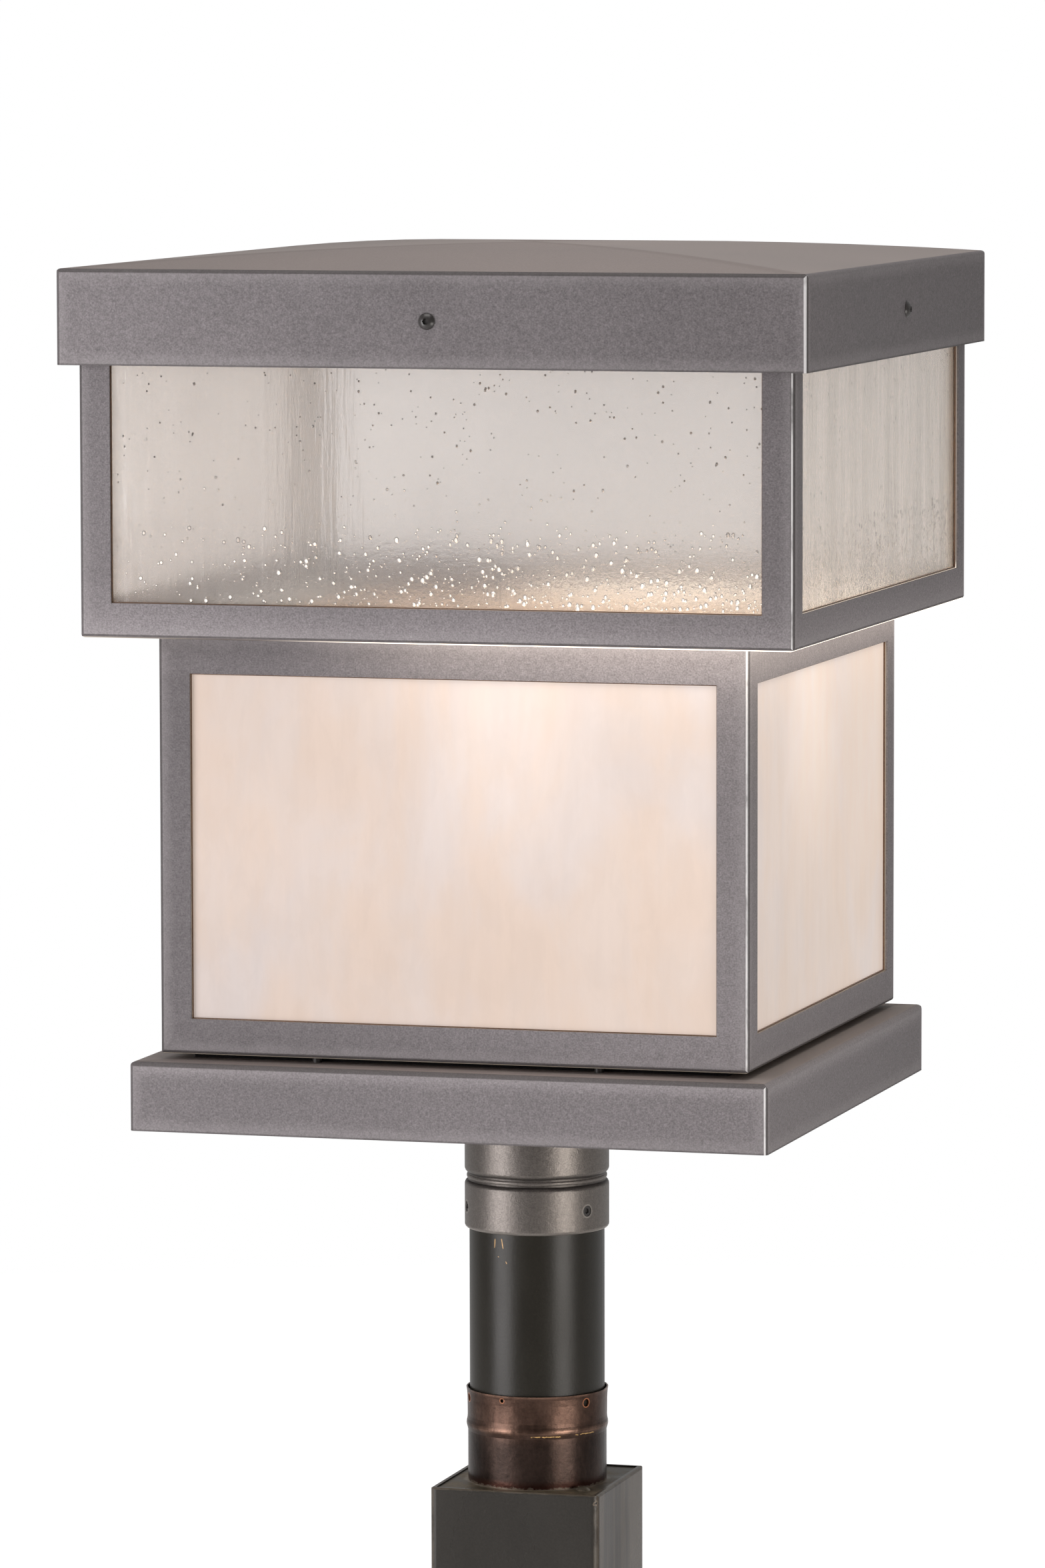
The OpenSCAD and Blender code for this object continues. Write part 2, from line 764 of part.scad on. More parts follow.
module cap() {
    color(grey_paint)
    difference() {
        crown_block(cap_w / 2, crown_r, fold_r);
        crown_block(cap_in, crown_r - sheet_t, inner_fold_r);
        translate([0, 0, z_eave - cap_skirt - eps])
            linear_extrude(2 * eps) round_square(2 * cap_in, inner_fold_r);
        for (side = side_angles)
            at_cap_screw(side, cap_in - eps) cylinder(r = cap_screw_d / 2 + run_gap, h = sheet_t + 2 * eps);
    }
}

// Square angle inside the cap, whose lower leg rests on the seal
module cap_ledge() {
    color(grey_paint)
    translate([0, 0, z_ledge]) difference() {
        linear_extrude(ledge_up) round_square(2 * cap_in, inner_fold_r);
        translate([0, 0, sheet_t]) linear_extrude(ledge_up) square(2 * (cap_in - sheet_t), center = true);
        translate([0, 0, -eps]) linear_extrude(ledge_up) square(upper_w - 2 * ledge_over, center = true);
    }
}

module cap_nuts() {
    color(zinc)
    for (side = side_angles)
        at_cap_screw(side, cap_in - cap_nut_h) nut(nut_w, cap_screw_d / 2 + run_gap, cap_nut_h);
}

// Screw through the skirt and its nut, with its tip against the upper tier
module cap_screw(side) {
    reach = cap_w / 2 + seat_gap - upper_w / 2 - tip_gap;
    color(black_paint)
    at_cap_screw(side, cap_w / 2 + seat_gap)
        socket_screw(cap_screw_d, reach, cap_screw_head_d, cap_screw_head_h, hex_key);
}

module stem() {
    low = z_flange - stem_below;
    color(zinc)
    translate([0, 0, low]) ring(stem_d / 2, stem_d / 2 - stem_wall, z_holder + stem_in_holder - low);
}

module stem_locknuts() {
    color(zinc)
    for (z = [z_flange - locknut_h, z_tray_top, z_cup - locknut_h])
        translate([0, 0, z]) nut(locknut_w, stem_d / 2 + run_gap, locknut_h);
}

module socket_cup() {
    cup_r = holder_d / 2 + seat_gap + cup_t;
    color(zinc)
    translate([0, 0, z_cup])
    difference() {
        cylinder(r = cup_r, h = cup_h);
        translate([0, 0, cup_t]) cylinder(r = cup_r - cup_t, h = cup_h);
        translate([0, 0, -eps]) cylinder(r = stem_hole_r, h = cup_t + 2 * eps);
    }
}

// Porcelain body: a foot in the cup, a waist and a rolled top rim
module lamp_holder() {
    holder_r = holder_d / 2;
    well_r = bulb_base_d / 2 + run_gap + shell_t + hole_gap;
    color(porcelain)
    translate([0, 0, z_holder])
    difference() {
        union() {
            cylinder(r = holder_r, h = cup_h + holder_step);
            cylinder(r = holder_r - holder_step, h = holder_h - holder_rim);
            translate([0, 0, holder_h - 2 * holder_rim])
                cylinder(r = holder_r - holder_rim_in, h = 2 * holder_rim);
        }
        translate([0, 0, holder_floor]) cylinder(r = well_r, h = holder_h);
        translate([0, 0, -eps]) cylinder(r = stem_hole_r, h = stem_in_holder + eps + seat_gap);
    }
}

module screw_shell() {
    in_r = bulb_base_d / 2 + run_gap;
    color(brass)
    translate([0, 0, z_holder + holder_floor])
        ring(in_r + shell_t, in_r, holder_h - holder_floor - shell_drop);
}

module centre_contact() {
    color(brass)
    translate([0, 0, z_holder + holder_floor]) cylinder(r = contact_r, h = contact_t);
}

// Half section of a pear-shaped bulb that is drawn in by a wall
module bulb_section(wall) {
    r = bulb_r - wall;
    low = bulb_base_h + bulb_tip_h / 2 + wall;
    mid = bulb_h - bulb_r;
    foot_r = neck_r - wall;
    reach = sqrt(pow(foot_r, 2) + pow(mid - low, 2));
    touch = atan2(low - mid, foot_r) + acos(r / reach);
    intersection() {
        union() {
            translate([0, mid]) circle(r = r, $fn = 96);
            polygon([[0, low], [foot_r, low], [r * cos(touch), mid + r * sin(touch)], [0, mid]]);
        }
        square([bulb_d, bulb_h]);
    }
}

module bulb_globe() {
    color(opal_glass)
    translate([0, 0, z_bulb]) rotate_extrude() difference() {
        bulb_section(0);
        bulb_section(bulb_wall);
    }
}

module bulb_base() {
    r = bulb_base_d / 2;
    color(brass)
    translate([0, 0, z_bulb]) rotate_extrude()
        polygon([
            [0, 0], [bulb_tip_r, 0], [bulb_tip_r + bulb_tip_edge, bulb_tip_edge],
            [r - 2 * bulb_tip_edge, bulb_tip_h], [r, bulb_tip_h + bulb_tip_edge], [r, bulb_base_h],
            [neck_r, bulb_base_h + bulb_tip_h / 2], [0, bulb_base_h + bulb_tip_h / 2]
        ]);
}

base_plate();
square_post();
post_top_plate();
bond_screw();
round_tube();
copper_sleeve();
fitter();
fitter_bolts();
fitter_nuts();
base_tray();
base_seal();
tray_bolts();
tray_nuts();
lower_frame(front_angle);  // lower_frame_front
lower_frame(right_angle);  // lower_frame_right
lower_frame(back_angle);  // lower_frame_back
lower_frame(left_angle);  // lower_frame_left
lower_pane(front_angle);  // lower_pane_front
lower_pane(right_angle);  // lower_pane_right
lower_pane(back_angle);  // lower_pane_back
lower_pane(left_angle);  // lower_pane_left
lower_gaskets();
lower_tracks();
tier_bolts();
tier_nuts();
upper_frame(front_angle);  // upper_frame_front
upper_frame(right_angle);  // upper_frame_right
upper_frame(back_angle);  // upper_frame_back
upper_frame(left_angle);  // upper_frame_left
upper_pane(front_angle);  // upper_pane_front
upper_pane(right_angle);  // upper_pane_right
upper_pane(back_angle);  // upper_pane_back
upper_pane(left_angle);  // upper_pane_left
upper_gaskets();
upper_tracks();
cap_seal();
stem();
stem_locknuts();
socket_cup();
lamp_holder();
screw_shell();
centre_contact();
bulb_globe();
bulb_base();
cap();
cap_ledge();
cap_nuts();
cap_screw(front_angle);  // cap_screw_front
cap_screw(right_angle);  // cap_screw_right
cap_screw(back_angle);  // cap_screw_back
cap_screw(left_angle);  // cap_screw_left
set_screw(-30);  // set_screw_right
set_screw(90);  // set_screw_back
set_screw(-150);  // set_screw_left
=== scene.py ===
import math
import random

import bpy
from mathutils import Matrix, Vector, noise


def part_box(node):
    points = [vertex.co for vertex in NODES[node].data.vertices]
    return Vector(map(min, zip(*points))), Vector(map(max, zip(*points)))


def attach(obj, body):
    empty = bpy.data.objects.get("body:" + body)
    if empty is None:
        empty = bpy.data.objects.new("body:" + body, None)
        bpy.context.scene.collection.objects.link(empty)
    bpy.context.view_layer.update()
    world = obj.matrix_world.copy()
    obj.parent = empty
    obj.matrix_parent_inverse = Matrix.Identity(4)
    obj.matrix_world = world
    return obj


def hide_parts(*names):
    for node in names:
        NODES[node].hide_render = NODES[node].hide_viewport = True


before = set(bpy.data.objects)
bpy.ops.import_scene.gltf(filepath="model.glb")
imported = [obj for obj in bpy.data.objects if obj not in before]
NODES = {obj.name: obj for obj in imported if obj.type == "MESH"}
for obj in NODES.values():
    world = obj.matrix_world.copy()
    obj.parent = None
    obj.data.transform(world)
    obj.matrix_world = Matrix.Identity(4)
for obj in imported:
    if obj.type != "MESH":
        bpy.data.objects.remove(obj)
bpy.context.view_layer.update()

SIDES = {"front": 0, "right": 90, "back": 180, "left": 270}

# Sizes in metres that the looks follow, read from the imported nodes
CAP_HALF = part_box("cap")[1].x
UPPER_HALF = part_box("upper_frame_right")[1].x
LOWER_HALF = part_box("lower_frame_right")[1].x
TRAY_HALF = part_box("base_tray")[1].x
POST_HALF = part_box("square_post")[1].x
Z_UPPER, Z_TOP = (v.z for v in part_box("upper_frame_front"))
Z_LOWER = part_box("lower_frame_front")[0].z
Z_TRAY, Z_TRAY_TOP = (v.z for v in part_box("base_tray"))
Z_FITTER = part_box("fitter")[0].z
Z_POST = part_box("square_post")[1].z
Z_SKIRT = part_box("cap")[0].z
Z_EAVE = Z_TOP + 0.015
Z_SLEEVE = Z_POST - 0.0008
Z_FILAMENT = sum(v.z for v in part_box("bulb_globe")) / 2 + 0.024

# Turned parts: radii in metres, and angles from +X in degrees
TUBE_R = 0.0381
SLEEVE_R = 0.0399
FITTER_R = 0.0407
SET_SCREW_ANGLES = (-30, 90, -150)
SET_SCREW_RISE = 0.0127
FITTER_BEAD_RISE = 0.0294
SLEEVE_BEAD_RISE = 0.0324

# Where the painted bright spot of the lamp sits in the opal panes, and how much it is flattened upright
SPOT_Z = 0.693
SPOT_SQUASH = 0.72
# For each side: its turn, the painted glow's level, its slope, and the gain and place of the painted bright spot
GLOW = {"front": (0, 0.39, 0.50, 0.13, 0.030), "right": (90, 0.45, 0.30, 0.13, -0.020),
        "back": (180, 0.46, 0.0, 0.12, 0.0), "left": (270, 0.46, 0.0, 0.12, 0.0)}
BULB_GLOW = 22.0
GLASS_IOR = 1.45

# Seedy panes: squares of each rippled face, how far the faces lie inside the CAD pane, and the air seeds
PANE_COLUMNS, PANE_ROWS = 96, 44
SKIN_INSET = 0.00030
SEEDS_A_PANE = 1250
SEED_RINGS, SEED_SPOKES = 4, 8
SEED_MAX_DEPTH = 0.00065

# Camera fitted to the photograph
CAMERA_PLACE = (1.2375, -4.2926, 1.0890)
AZIMUTH, ELEVATION, ROLL = math.radians(16.18), math.radians(5.57), math.radians(-0.12)
LENS_MM = 183.8

# Studio: the floor's radius, its own colour, and the plain level of the world
FLOOR_R = 2.4
FLOOR_GREY = 0.72
PLAIN = 0.20


class Look:
    """Node tree of a material round a Principled shader, with short calls for the nodes that the looks share."""

    SOCKETS = {"colour": "Base Color", "rough": "Roughness", "metal": "Metallic", "normal": "Normal",
               "glow": "Emission Color", "glow_level": "Emission Strength", "clear": "Transmission Weight",
               "ior": "IOR", "shine": "Specular IOR Level", "coat": "Coat Weight"}

    def __init__(self, name, world=False):
        self.mat = (bpy.data.worlds if world else bpy.data.materials).new(name)
        self.mat.use_nodes = True
        self.tree = self.mat.node_tree
        self.tree.nodes.clear()
        coord = self.tree.nodes.new("ShaderNodeTexCoord")
        self.place = coord.outputs["Generated" if world else "Object"]
        self.x, self.y, self.z = self.axes(self.place)
        if world:
            self.out = self.tree.nodes.new("ShaderNodeOutputWorld")
            return
        self.out = self.tree.nodes.new("ShaderNodeOutputMaterial")
        self.shader = self.tree.nodes.new("ShaderNodeBsdfPrincipled")
        self.join(self.shader.outputs[0], self.out.inputs["Surface"])
        self.facing = coord.outputs["Normal"]

    def join(self, source, target):
        self.tree.links.new(source, target)

    def node(self, kind, values=(), **settings):
        n = self.tree.nodes.new(kind)
        for key, value in settings.items():
            setattr(n, key, value)
        for i, value in enumerate(values):
            if value is not None:
                self.put(n.inputs[i], value)
        return n

    def put(self, socket, value):
        if isinstance(value, bpy.types.NodeSocket):
            self.join(value, socket)
        elif socket.type == "RGBA" and not hasattr(value, "__len__"):
            socket.default_value = (value, value, value, 1)
        elif socket.type == "RGBA":
            socket.default_value = (*value[:3], 1)
        else:
            socket.default_value = value

    def calc(self, way, a, b=0.0, c=0.0, clamp=False):
        return self.node("ShaderNodeMath", (a, b, c), operation=way, use_clamp=clamp).outputs[0]

    def times(self, a, b):
        return self.calc("MULTIPLY", a, b)

    def plus(self, a, b):
        return self.calc("ADD", a, b)

    def minus(self, a, b):
        return self.calc("SUBTRACT", a, b)

    def size(self, a):
        return self.calc("ABSOLUTE", a)

    def vector(self, way, *values):
        return self.node("ShaderNodeVectorMath", values, operation=way)

    def axes(self, vector):
        return self.node("ShaderNodeSeparateXYZ", [vector]).outputs

    def distance(self, point):
        return self.vector("DISTANCE", self.place, point).outputs[1]

    def scaled(self, colour, gain):
        """The colour, a socket or three numbers, times a gain."""
        return self.vector("MULTIPLY", colour, gain).outputs[0]

    def noise(self, scale, detail=2.0, rough=0.5, stretch=None, warp=0.0):
        """Noise from 0 to 1. scale is in features a metre, stretch multiplies the coordinates."""
        n = self.tree.nodes.new("ShaderNodeTexNoise")
        self.join(self.scaled(self.place, stretch) if stretch else self.place, n.inputs["Vector"])
        for key, value in (("Scale", scale), ("Detail", detail), ("Roughness", rough), ("Distortion", warp)):
            n.inputs[key].default_value = value
        return n.outputs[0]

    def cells(self, scale):
        """Distance to the nearest of scattered points."""
        n = self.tree.nodes.new("ShaderNodeTexVoronoi")
        n.inputs["Scale"].default_value = scale
        self.join(self.place, n.inputs["Vector"])
        return n.outputs["Distance"]

    def ramp(self, value, low, high, to_low=0.0, to_high=1.0, smooth=True):
        n = self.node("ShaderNodeMapRange", (value, low, high, to_low, to_high))
        n.interpolation_type = "SMOOTHSTEP" if smooth else "LINEAR"
        return n.outputs[0]

    def blend(self, share, a, b):
        n = self.node("ShaderNodeMix", data_type="RGBA", blend_type="MIX", clamp_factor=True)
        for i, value in ((0, share), (6, a), (7, b)):
            self.put(n.inputs[i], value)
        return n.outputs[2]

    def lay(self, colour, mask, strength, over):
        """Another colour laid over this one, by a mask and a strength."""
        return self.blend(self.times(mask, strength), colour, over)

    def vary(self, colour, value, amount):
        """The colour made darker or lighter by up to that share, as the value runs from 0 to 1."""
        return self.scaled(colour, self.ramp(value, 0.25, 0.75, 1 - amount, 1 + amount, smooth=False))

    def bump(self, height, distance, strength=1.0, under=None):
        n = self.tree.nodes.new("ShaderNodeBump")
        n.inputs["Strength"].default_value = strength
        n.inputs["Distance"].default_value = distance
        self.put(n.inputs["Height"], height)
        if under is not None:
            self.join(under, n.inputs["Normal"])
        return n.outputs[0]

    def finish(self, **sockets):
        for key, value in sockets.items():
            self.put(self.shader.inputs[self.SOCKETS[key]], value)
        return self.mat


def srgb(r, g, b):
    """Linear colour of a colour given in the usual 0 to 255 values."""
    def linear(v):
        return v / 255 / 12.92 if v < 10.3 else ((v / 255 + 0.055) / 1.055) ** 2.4
    return linear(r), linear(g), linear(b)


def far_axis(k, vector):
    """The largest of a vector's three parts, without their signs."""
    parts = [k.size(v) for v in k.axes(vector)]
    return k.calc("MAXIMUM", parts[0], k.calc("MAXIMUM", parts[1], parts[2]))


def towards(k, angle, wide, soft):
    """1 where the surface looks to this side, at an angle from +X, or to the side opposite."""
    way = (math.cos(math.radians(angle)), math.sin(math.radians(angle)), 0)
    dot = k.size(k.vector("DOT_PRODUCT", k.facing, way).outputs[1])
    return k.ramp(dot, math.cos(math.radians(wide + soft)), math.cos(math.radians(wide)))


def case_edge(k, half, low, high):
    """Distance from the nearest outer edge of a square case, in metres."""
    side = k.plus(k.minus(half, k.size(k.x)), k.minus(half, k.size(k.y)))
    return k.calc("MINIMUM", side, k.calc("MINIMUM", k.minus(k.z, low), k.minus(high, k.z)))


def on_tube(angle, z, radius=TUBE_R):
    """A point on a turned part, at an angle from +X in degrees."""
    return (radius * math.cos(math.radians(angle)), radius * math.sin(math.radians(angle)), z)


def scratch(k, start, end, width):
    """1 along a straight scratch between two points, thin and broken."""
    a, b = Vector(start), Vector(end)
    along = (b - a).normalized()
    length = (b - a).length
    rel = k.vector("SUBTRACT", k.place, tuple(a)).outputs[0]
    t = k.vector("DOT_PRODUCT", rel, tuple(along)).outputs[1]
    foot = k.vector("SCALE", tuple(along))
    k.join(t, foot.inputs["Scale"])
    gap = k.vector("DISTANCE", rel, foot.outputs[0]).outputs[1]
    wobble = k.ramp(k.noise(220, 4, 0.7), 0.2, 0.8, -width * 0.6, width * 0.6, smooth=False)
    line = k.ramp(k.plus(gap, wobble), width * 0.5, width, 1, 0)
    inside = k.times(k.ramp(t, 0, width * 2), k.ramp(t, length - width * 2, length, 1, 0))
    return k.times(line, inside)


def around(k, start, end, height, thick):
    """1 along a broken line round the upright axis, between two angles in degrees, at a height."""
    angle = k.calc("ARCTAN2", k.y, k.x)
    a, b = math.radians(start), math.radians(end)
    span = k.times(k.ramp(angle, a, a + 0.03), k.ramp(angle, b - 0.03, b, 1, 0))
    wobble = k.ramp(k.noise(420, 4, 0.7), 0.25, 0.75, -thick, thick)
    gap = k.size(k.plus(k.minus(k.z, height), wobble))
    bits = k.ramp(k.noise(230, 3, 0.7, (1, 1, 0.3)), 0.42, 0.50)
    return k.times(k.times(span, bits), k.ramp(gap, thick * 0.5, thick, 1, 0))


def roof_painted_light(k, fine, patch):
    """Paler crown of the cap, as painted light from above: a little lighter on the side of its hips towards +-x, a
    soft painted shade along the hips, and painted shade towards -x.
    """
    hip = k.minus(k.size(k.x), k.size(k.y))
    crown = k.vary(k.vary(srgb(148, 138, 135), fine, 0.12), patch, 0.07)
    crown = k.blend(k.ramp(hip, -0.0012, 0.0012), crown, k.vary(srgb(156, 147, 144), patch, 0.07))
    line = k.ramp(k.size(k.plus(hip, 0.006)), 0.0, 0.012, 0.30, 0)
    crown = k.blend(line, crown, srgb(122, 114, 110))
    return k.scaled(crown, k.ramp(k.x, -0.20, 0.05, 0.86, 1))


def coated(name, half, low, high, level=1.0, painted_light_gains=(), inner=None, painted_lean=0.0, line=9,
           painted_hem=(62, 58, 57), lit=None):
    """Satin grey powder coat on sheet: sandy grain, a painted highlight beside each edge, painted shade in the
    folds, and a painted highlight line down the near and far corners. The gain bands by height (height from, height
    to, gain) and the gain across x paint light and shade. The colour for the foot paints a line there, dark as
    shade or pale as a highlight. inner is (x from, x to) and a colour for the faces inside: painted shade towards
    -x, and the colour fading in across the span, painted light of the bulb where the span lies inside the case. lit
    is (x from, x to, level from, level to) for a painted glow of the bulb's light low on them. Both also take in
    the underside
    of the case, which should not glow: an open fault."""
    k = Look(name)
    base = [c * level for c in srgb(125, 120, 122)]
    fine = k.noise(1050, 2, 0.65)
    coarse = k.noise(400, 3, 0.6)
    patch = k.noise(9, 3, 0.55)
    colour = k.vary(k.vary(k.vary(base, fine, 0.34), coarse, 0.15), patch, 0.08)
    # Painted light and shade: gain bands by height, and a gain across x
    for start, end, gain in painted_light_gains:
        colour = k.scaled(colour, k.ramp(k.z, start, end, 1, gain))
    if painted_lean:
        colour = k.scaled(colour, k.ramp(k.x, -half, half, 1 - painted_lean, 1 + painted_lean))
    east, _, up = k.axes(k.facing)
    # Up-facing roof takes the crown colour, which holds painted light and shade
    roof = k.ramp(up, 0.9, 0.97)
    colour = k.blend(roof, colour, roof_painted_light(k, fine, patch))

    # Edges: a painted highlight beside them, painted shade in the folds that softens where they face up and east, a
    # painted line at the foot and a painted highlight down the corners
    away = k.plus(case_edge(k, half, low, high), k.ramp(k.noise(55, 3, 0.6), 0.3, 0.7, -0.0010, 0.0010))
    # Painted highlight in a band beside each edge
    edge_highlight = k.times(k.ramp(away, 0.0020, 0.0090, 1, 0), k.minus(1.0, roof))
    colour = k.lay(colour, edge_highlight, 0.20, srgb(178, 173, 174))
    # Painted shade in the folds, softer where they face up and east
    fold = k.ramp(far_axis(k, k.facing), 0.925, 0.985, 1, 0)
    smooth = k.times(k.ramp(east, 0.10, 0.35), k.ramp(up, 0.10, 0.35))
    fold = k.times(fold, k.calc("MULTIPLY_ADD", smooth, -0.85, 1.0))
    colour = k.lay(colour, fold, 0.66, srgb(56, 52, 51))
    # Painted line at the foot: shade where its colour is dark, a highlight where it is pale
    foot = k.times(k.ramp(k.z, low + 0.0004, low + 0.0013, 1, 0), k.minus(1.0, roof))
    colour = k.lay(colour, foot, 0.55, srgb(*painted_hem))
    # Painted highlight down the near and far corners, broken by noise
    worn = k.ramp(k.noise(80, 4, 0.65, (1, 1, 0.35)), 0.34, 0.52, 0.35, 1)
    colour = k.lay(colour, towards(k, -60, line, line + 2), worn, srgb(250, 248, 250))

    if inner:
        (start, end), tone = inner
        reach = k.minus(half, k.calc("MAXIMUM", k.size(k.x), k.size(k.y)))
        inside = k.ramp(reach, 0.0009, 0.0013)
        # Painted shade on the inside faces towards -x, then the inner colour, painted light of the bulb where it
        # fades in
        colour = k.lay(colour, inside, k.ramp(k.x, start - 0.02, start + 0.03, 0.85, 0), srgb(78, 71, 66))
        colour = k.lay(colour, inside, k.ramp(k.x, start, end), k.vary(srgb(*tone), patch, 0.05))
    if lit:
        # Painted glow of the bulb's light in a low band on the inside faces
        near = k.times(k.ramp(k.z, low + 0.003, low + 0.008, 1, 0.5),
                       k.ramp(k.z, low + 0.018, low + 0.024, 1, 0))
        spread = k.plus(k.ramp(k.x, *lit), k.ramp(k.x, -half, -half * 0.55, 0.45, 0))
        k.finish(glow=srgb(255, 244, 228), glow_level=k.times(k.times(inside, near), spread))
    normal = k.bump(fine, 0.00026, 0.8, k.bump(coarse, 0.00045, 0.5))
    return k.finish(colour=colour, rough=k.ramp(patch, 0.3, 0.7, 0.54, 0.62), normal=normal, shine=0.20)


def turned(name):
    """Metallic grey coat on the turned fitter: fine sparkle, painted shade either side of the bead, pale rims at
    screw holes and foot.
    """
    k = Look(name)
    fine = k.noise(1200, 2, 0.6)
    coarse = k.noise(420, 3, 0.6)
    patch = k.noise(18, 4, 0.6, (1, 1, 0.5))
    colour = k.vary(k.vary(k.vary(srgb(122, 116, 111), fine, 0.24), coarse, 0.12), patch, 0.08)
    bead = k.size(k.minus(k.z, Z_FITTER + FITTER_BEAD_RISE))
    # Painted shade either side of the bead
    groove_shade = k.times(k.ramp(bead, 0.0018, 0.0050, 1, 0), k.ramp(bead, 0.0008, 0.0020))
    colour = k.lay(colour, groove_shade, 0.75, srgb(44, 40, 38))
    rim = k.ramp(k.z, Z_FITTER + 0.0004, Z_FITTER + 0.0022, 1, 0)
    colour = k.lay(colour, rim, 0.45, srgb(196, 188, 180))
    for angle in SET_SCREW_ANGLES:
        gap = k.distance(on_tube(angle, Z_FITTER + SET_SCREW_RISE, FITTER_R))
        ring = k.times(k.ramp(gap, 0.0029, 0.0032), k.ramp(gap, 0.0036, 0.0043, 1, 0))
        colour = k.lay(colour, ring, 0.35, srgb(205, 198, 190))
    normal = k.bump(fine, 0.00016, 0.6, k.bump(coarse, 0.0003, 0.35))
    return k.finish(colour=colour, rough=k.ramp(patch, 0.3, 0.7, 0.36, 0.43), metal=0.68, normal=normal,
                    shine=0.5)


def dark_paint(name, tone=(40, 37, 31), streaks=0.0, scratches=(), shine=0.35, rough=(0.30, 0.38)):
    """Worn brown-black satin paint on the tube, the base plate, the black screws and the tray's bolts."""
    k = Look(name)
    fine = k.noise(700, 3, 0.6)
    cloud = k.noise(22, 5, 0.6, (1, 1, 0.35))
    colour = k.vary(k.vary(srgb(*tone), cloud, 0.24), fine, 0.14)
    if streaks:
        runs = k.ramp(k.noise(75, 5, 0.7, (1, 1, 0.05)), 0.45, 0.72)
        colour = k.lay(colour, runs, streaks, srgb(96, 87, 75))
    dust = k.ramp(k.cells(260), 0.02, 0.09, 1, 0)
    colour = k.lay(colour, dust, 0.10, srgb(120, 110, 98))
    rubs = k.ramp(k.noise(90, 5, 0.75, (0.25, 0.25, 2.4), 0.3), 0.66, 0.74)
    colour = k.lay(colour, rubs, 0.12, srgb(128, 116, 100))
    metal = 0.0
    for start, end, width in scratches:
        mark = scratch(k, start, end, width)
        colour = k.lay(colour, mark, 0.65, srgb(196, 158, 108))
        metal = k.calc("ADD", metal, k.times(mark, 0.4), clamp=True)
    normal = k.bump(fine, 0.00010, 0.5, k.bump(k.noise(45, 3, 0.5, (1, 1, 0.2)), 0.0004, 0.30))
    return k.finish(colour=colour, rough=k.ramp(cloud, 0.3, 0.7, *rough), metal=metal, normal=normal,
                    shine=shine)


def post_paint():
    """Dark satin paint on the square post: a right face painted lighter and browner as painted light, with dark
    runs on it, dust at its foot, pale rubbed edges, a tarnished upper rim and a nick at the near corner."""
    k = Look("post_paint")
    fine = k.noise(800, 3, 0.6)
    cloud = k.noise(14, 5, 0.6, (1, 1, 0.4))
    runs = k.ramp(k.noise(60, 5, 0.72, (1, 1, 0.045)), 0.42, 0.62)
    # The right face is painted lighter and browner for the light falling on it; the runs on it are stains
    lit_right_face = k.ramp(k.x, POST_HALF - 0.003, POST_HALF - 0.0008)
    colour = k.vary(srgb(54, 51, 47), cloud, 0.18)
    colour = k.blend(lit_right_face, colour, k.lay(srgb(78, 68, 57), runs, 0.85, srgb(36, 29, 24)))
    colour = k.vary(colour, fine, 0.14)
    low = k.ramp(k.plus(k.z, k.ramp(cloud, 0.3, 0.7, -0.012, 0.012)), 0.012, 0.050, 1, 0)
    colour = k.lay(colour, low, 0.35, srgb(92, 84, 72))
    worn = k.ramp(k.noise(90, 4, 0.6), 0.38, 0.60, 0.25, 1)
    fold = k.times(k.ramp(far_axis(k, k.facing), 0.86, 0.97, 1, 0), worn)
    colour = k.lay(colour, fold, 0.55, srgb(116, 108, 98))
    nick = k.distance((POST_HALF - 0.0012, 0.0004 - POST_HALF, Z_POST - 0.0042))
    nick = k.plus(nick, k.ramp(k.noise(500, 3), 0.3, 0.7, -0.0007, 0.0007))
    colour = k.blend(k.ramp(nick, 0.0014, 0.0020, 0.7, 0), colour, srgb(136, 122, 106))
    colour = k.blend(k.ramp(nick, 0.0006, 0.0011, 1, 0), colour, srgb(20, 17, 15))
    upward = k.ramp(k.axes(k.facing)[2], 0.6, 0.9)
    colour = k.lay(colour, upward, 0.75, k.vary(srgb(112, 101, 85), fine, 0.15))
    normal = k.bump(fine, 0.00010, 0.5, k.bump(k.noise(30, 3, 0.5, (1, 1, 0.15)), 0.0005, 0.25))
    return k.finish(colour=colour, rough=k.ramp(cloud, 0.3, 0.7, 0.26, 0.36), normal=normal, shine=0.35)


def tarnished(name):
    """Olive-brown tarnish on the post's welded top plate, with a paler ring near the sleeve."""
    k = Look(name)
    cloud = k.noise(55, 6, 0.65)
    fine = k.noise(600, 3, 0.6)
    colour = k.blend(k.ramp(cloud, 0.35, 0.68), srgb(88, 80, 65), srgb(150, 134, 110))
    flat = k.node("ShaderNodeCombineXYZ", (k.x, k.y, 0.0)).outputs[0]
    away = k.vector("LENGTH", flat).outputs[1]
    ring = k.plus(away, k.ramp(k.noise(160, 4), 0.3, 0.7, -0.0012, 0.0012))
    colour = k.lay(colour, k.ramp(ring, 0.0392, 0.0418, 1, 0), 0.7, srgb(168, 160, 146))
    colour = k.vary(colour, fine, 0.15)
    return k.finish(colour=colour, rough=k.ramp(cloud, 0.3, 0.7, 0.35, 0.6), metal=0.2,
                    normal=k.bump(fine, 0.00015, 0.5), shine=0.4)


